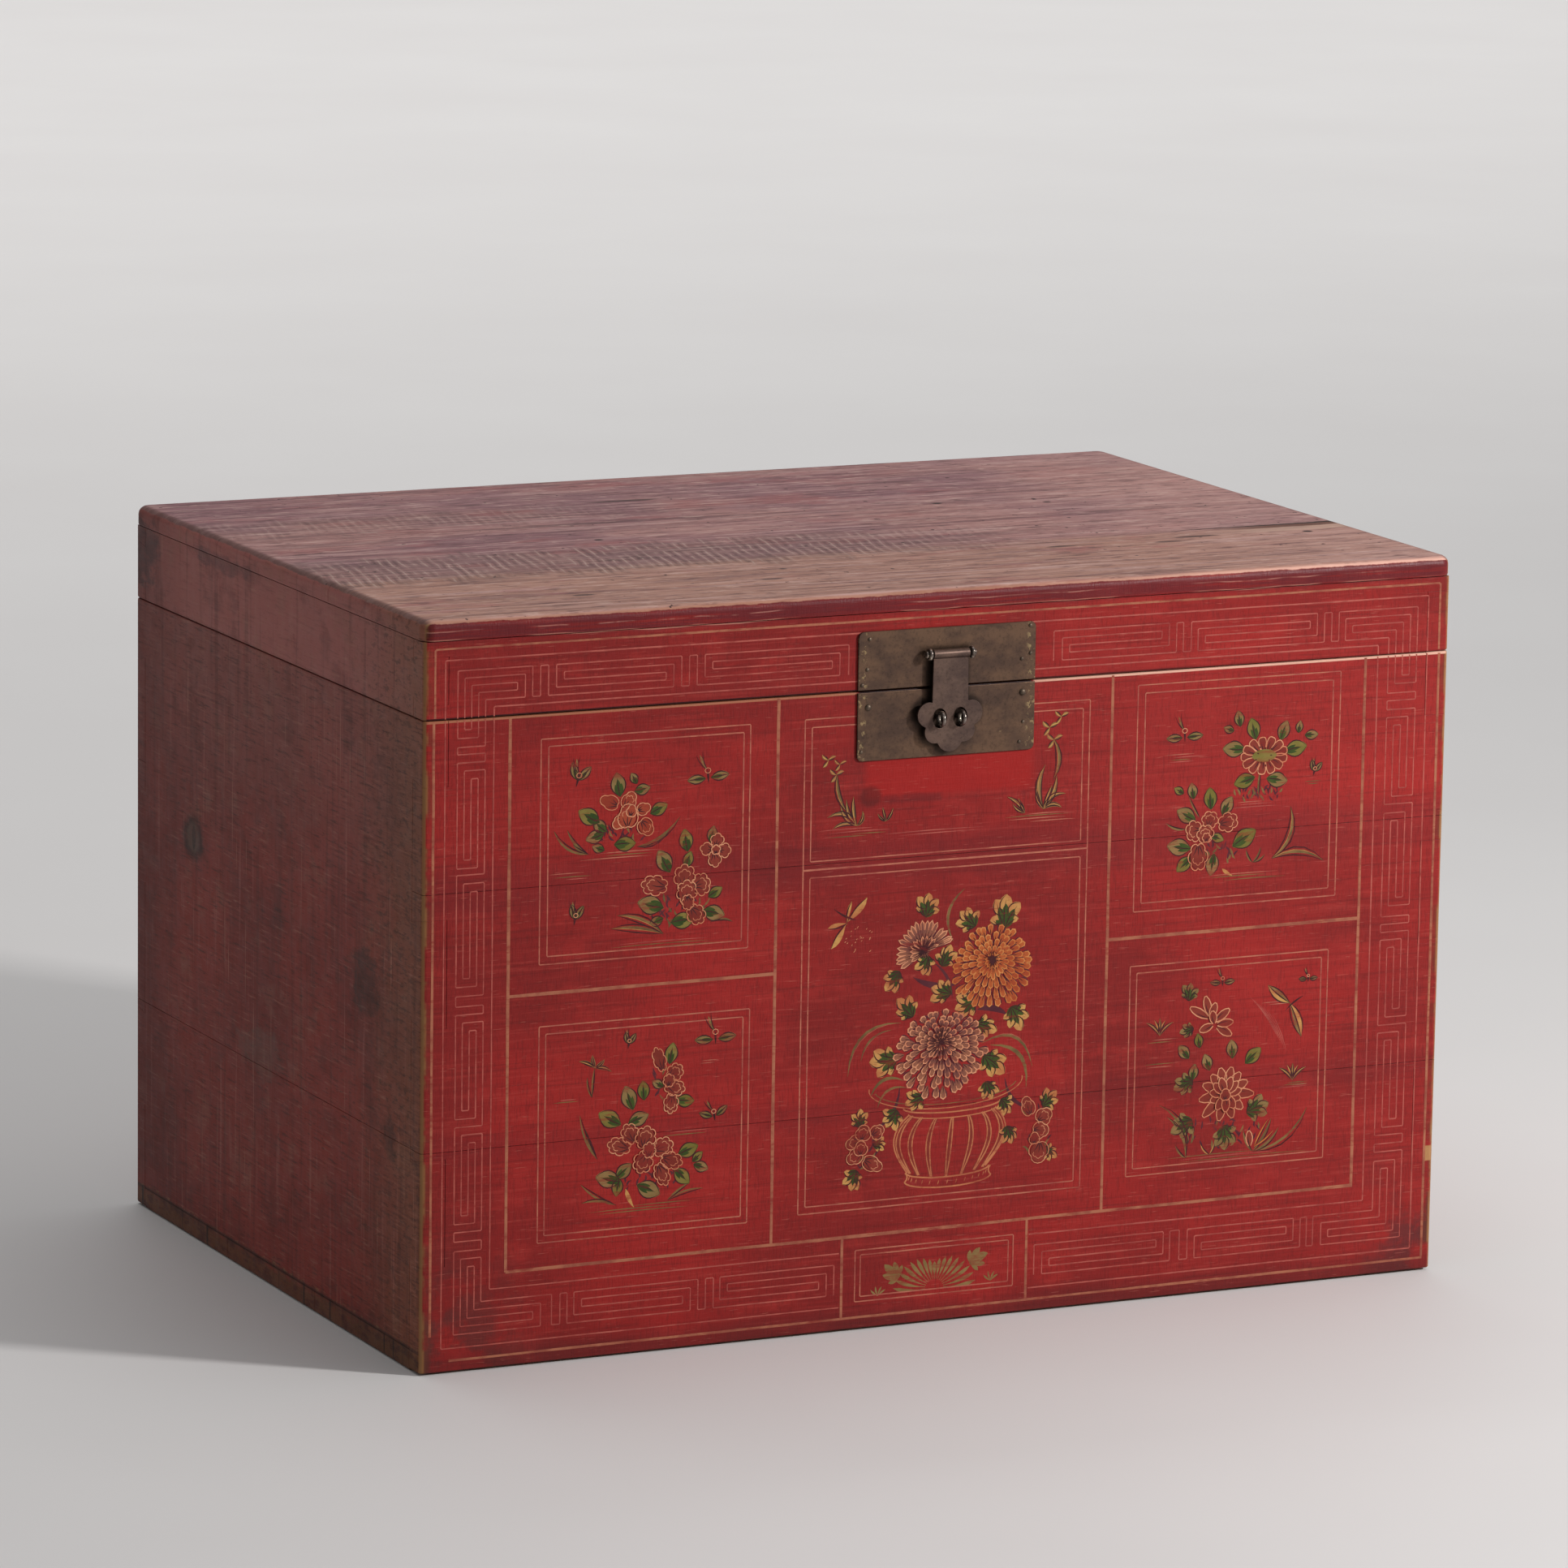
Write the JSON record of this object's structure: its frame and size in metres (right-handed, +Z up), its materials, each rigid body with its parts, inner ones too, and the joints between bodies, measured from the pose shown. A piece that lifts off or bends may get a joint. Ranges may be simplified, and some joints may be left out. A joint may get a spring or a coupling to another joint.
{
  "type": "painted wooden storage chest",
  "caption": "Painted wooden storage chest with dovetailed plank walls, a hinged box lid, plate hinges on the back, and lock plates with a swinging lobed hasp over staples.",
  "frame": {"origin": "centre of the case's underside, on the floor plane", "axes": "+Z up, front with the lock faces -Y, +X to the right of someone facing the front"},
  "size_m": [0.882, 0.6214, 0.5806],
  "materials": {
    "red_lacquered_wood": "worn red lacquer with a soft sheen",
    "dark_lacquered_wood": "thin darkened lacquer, streaked",
    "faded_top_wood": "faded, rubbed lacquer, nearly matte",
    "bare_wood": "unfinished sawn board",
    "aged_brass": "dark bronze patina, rubbed bright at the edges"
  },
  "bodies": {
    "base": {"front_plank_lower": "red_lacquered_wood", "front_plank_middle": "red_lacquered_wood", "front_plank_upper": "red_lacquered_wood", "back_plank_lower": "dark_lacquered_wood", "back_plank_middle": "dark_lacquered_wood", "back_plank_upper": "dark_lacquered_wood", "left_plank_lower": "dark_lacquered_wood", "left_plank_upper": "dark_lacquered_wood", "right_plank_lower": "dark_lacquered_wood", "right_plank_upper": "dark_lacquered_wood", "bottom_plank_front": "bare_wood", "bottom_plank_middle": "bare_wood", "bottom_plank_rear": "bare_wood", "lock_plate_lower": "aged_brass", "staple_left": "aged_brass", "staple_right": "aged_brass", "hinge_left_lower_leaf": "aged_brass", "hinge_left_pin": "aged_brass", "hinge_right_lower_leaf": "aged_brass", "hinge_right_pin": "aged_brass"},
    "lid": {"lid_front_rail": "red_lacquered_wood", "lid_back_rail": "dark_lacquered_wood", "lid_left_rail": "dark_lacquered_wood", "lid_right_rail": "dark_lacquered_wood", "lid_plank_front": "faded_top_wood", "lid_plank_middle": "faded_top_wood", "lid_plank_rear": "faded_top_wood", "lid_batten_left": "bare_wood", "lid_batten_right": "bare_wood", "lock_plate_upper": "aged_brass", "hasp_pin": "aged_brass", "hasp_eye_left": "aged_brass", "hasp_eye_right": "aged_brass", "hinge_left_upper_leaf": "aged_brass", "hinge_right_upper_leaf": "aged_brass"},
    "hasp": {"hasp": "aged_brass"}
  },
  "joints": [
    {"name": "lid_hinge", "type": "hinge", "parent": "base", "child": "lid", "pos_m": [0, 0.30235, 0.5045], "axis": [-1, 0, 0], "range_deg": [0, 105]},
    {"name": "hasp_swing", "type": "hinge", "parent": "lid", "child": "hasp", "pos_m": [-0.0045, -0.30535, 0.531], "axis": [-1, 0, 0], "range_deg": [0, 175]}
  ]
}
